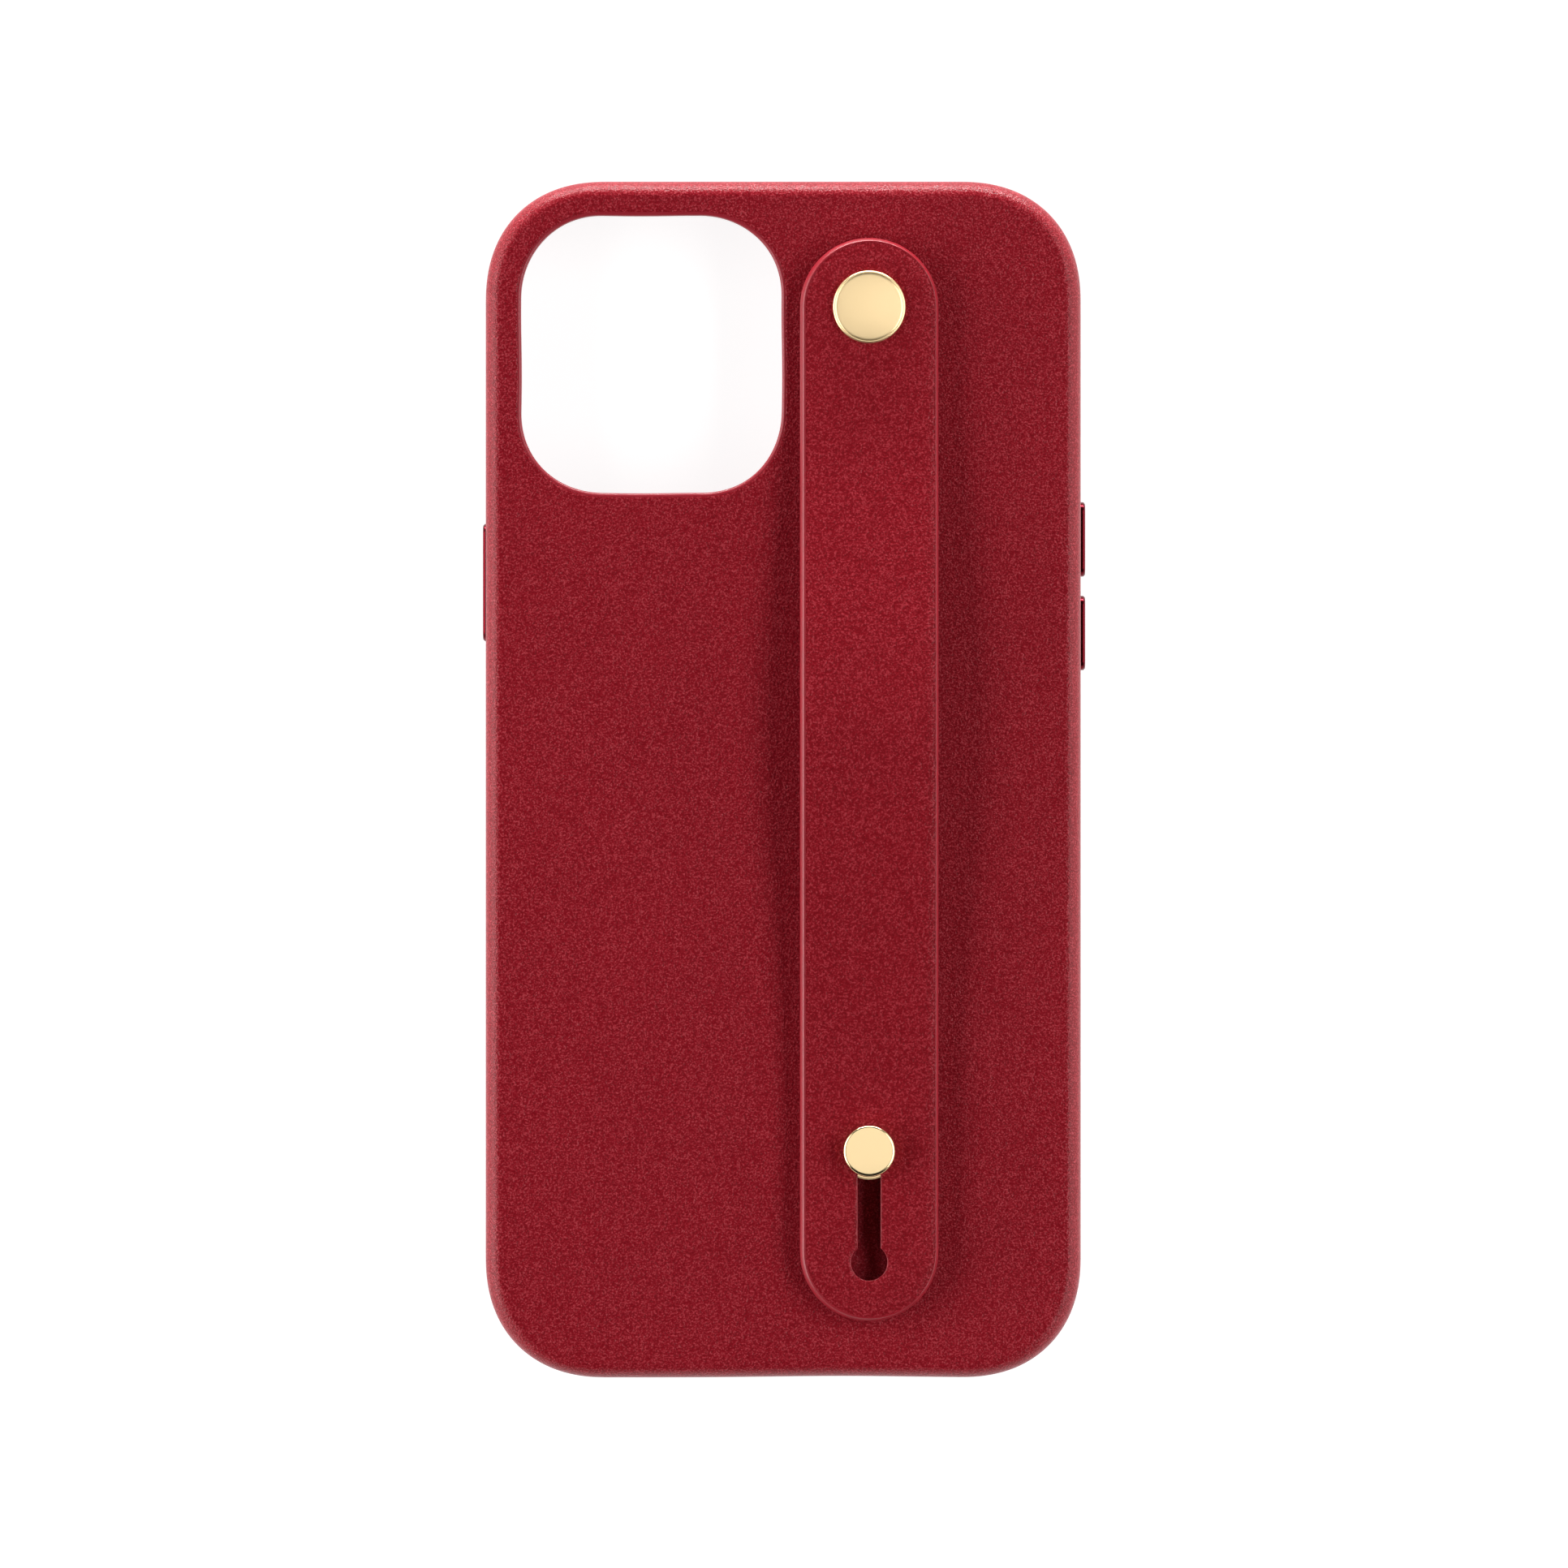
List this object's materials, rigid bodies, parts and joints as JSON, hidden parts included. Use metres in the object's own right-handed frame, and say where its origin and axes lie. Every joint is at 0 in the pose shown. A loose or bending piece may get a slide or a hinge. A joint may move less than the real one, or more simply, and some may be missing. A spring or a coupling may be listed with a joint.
{
  "type": "phone case",
  "caption": "Leather-wrapped hard phone case, open in front, with a rounded square camera window and a bowed finger strap held by a rivet and a keyhole on a stud.",
  "frame": {"origin": "middle of the front rim, in the plane that the case lies on with its back up", "axes": "+Y along the case towards the camera window end, +Z out of the back, +X to the right as the back is seen"},
  "size_m": [0.0832, 0.1646, 0.0174],
  "materials": {
    "case_leather": "fine pebble grain, low sheen",
    "strap_leather": "coarser grain with smooth painted edges",
    "strap_backing": "smooth backing leather",
    "shell_plastic": "smooth, satin",
    "microfibre": "short soft nap",
    "anodised_red": "gloss anodised with bright edges",
    "silicone": "matte",
    "rivet_gold": "fine satin",
    "stud_gold": "polished",
    "steel": "satin"
  },
  "bodies": {
    "case": {"shell": "shell_plastic", "leather_cover": "case_leather", "back_lining": "microfibre", "wall_lining": "microfibre", "side_button_gasket": "silicone", "volume_up_gasket": "silicone", "volume_down_gasket": "silicone", "rivet_post": "steel", "rivet_washer": "steel", "rivet_cap": "rivet_gold", "rivet_spacer": "strap_backing", "stud": "stud_gold", "stud_screw": "steel", "stud_washer": "steel", "strap_face_1": "strap_leather", "strap_lining_1": "strap_backing"},
    "side_button": {"side_button": "anodised_red", "side_button_clip": "steel"},
    "volume_up_button": {"volume_up_button": "anodised_red", "volume_up_clip": "steel"},
    "volume_down_button": {"volume_down_button": "anodised_red", "volume_down_clip": "steel"},
    "strap_link_1": {"strap_face_2": "strap_leather", "strap_lining_2": "strap_backing"},
    "strap_link_2": {"strap_face_3": "strap_leather", "strap_lining_3": "strap_backing"},
    "strap_link_3": {"strap_face_4": "strap_leather", "strap_lining_4": "strap_backing"},
    "strap_link_4": {"strap_face_5": "strap_leather", "strap_lining_5": "strap_backing"},
    "strap_link_5": {"strap_face_6": "strap_leather", "strap_lining_6": "strap_backing"},
    "strap_link_6": {"strap_face_7": "strap_leather", "strap_lining_7": "strap_backing"},
    "strap_tail": {"strap_face_8": "strap_leather", "strap_lining_8": "strap_backing"}
  },
  "joints": [
    {"name": "side_press", "type": "slide", "parent": "case", "child": "side_button", "axis": [1, 0, 0], "range_m": [0, 0.00035], "stiffness_N_per_m": 2000},
    {"name": "volume_up_press", "type": "slide", "parent": "case", "child": "volume_up_button", "axis": [-1, 0, 0], "range_m": [0, 0.00035], "stiffness_N_per_m": 2000},
    {"name": "volume_down_press", "type": "slide", "parent": "case", "child": "volume_down_button", "axis": [-1, 0, 0], "range_m": [0, 0.00035], "stiffness_N_per_m": 2000},
    {"name": "strap_lift", "type": "hinge", "parent": "case", "child": "strap_link_1", "pos_m": [0.0118, 0.0569, 0.0135], "axis": [-1, 0, 0], "range_deg": [0, 15.59]},
    {"name": "strap_bend_1", "type": "hinge", "parent": "strap_link_1", "child": "strap_link_2", "pos_m": [0.0118, 0.04451, 0.01391], "axis": [-1, 0, 0], "range_deg": [0, 22.05]},
    {"name": "strap_bend_2", "type": "hinge", "parent": "strap_link_2", "child": "strap_link_3", "pos_m": [0.0118, 0.01979, 0.01591], "axis": [-1, 0, 0], "range_deg": [-22.05, 0]},
    {"name": "strap_crown", "type": "hinge", "parent": "strap_link_3", "child": "strap_link_4", "pos_m": [0.0118, 0.00739, 0.01633], "axis": [-1, 0, 0], "range_deg": [-31.19, 0]},
    {"name": "strap_bend_3", "type": "hinge", "parent": "strap_link_4", "child": "strap_link_5", "pos_m": [0.0118, -0.005, 0.01591], "axis": [-1, 0, 0], "range_deg": [-22.05, 0]},
    {"name": "strap_bend_4", "type": "hinge", "parent": "strap_link_5", "child": "strap_link_6", "pos_m": [0.0118, -0.02972, 0.01391], "axis": [-1, 0, 0], "range_deg": [0, 22.05]},
    {"name": "strap_tail_level", "type": "hinge", "parent": "strap_link_6", "child": "strap_tail", "pos_m": [0.0118, -0.04211, 0.0135], "axis": [-1, 0, 0], "range_deg": [0, 15.59]}
  ],
  "couplings": [
    {"joint": "strap_bend_1", "follows": "strap_lift", "ratio": 1.4142},
    {"joint": "strap_bend_2", "follows": "strap_lift", "ratio": -1.4142},
    {"joint": "strap_crown", "follows": "strap_lift", "ratio": -2},
    {"joint": "strap_bend_3", "follows": "strap_lift", "ratio": -1.4142},
    {"joint": "strap_bend_4", "follows": "strap_lift", "ratio": 1.4142},
    {"joint": "strap_tail_level", "follows": "strap_lift", "ratio": 1}
  ]
}
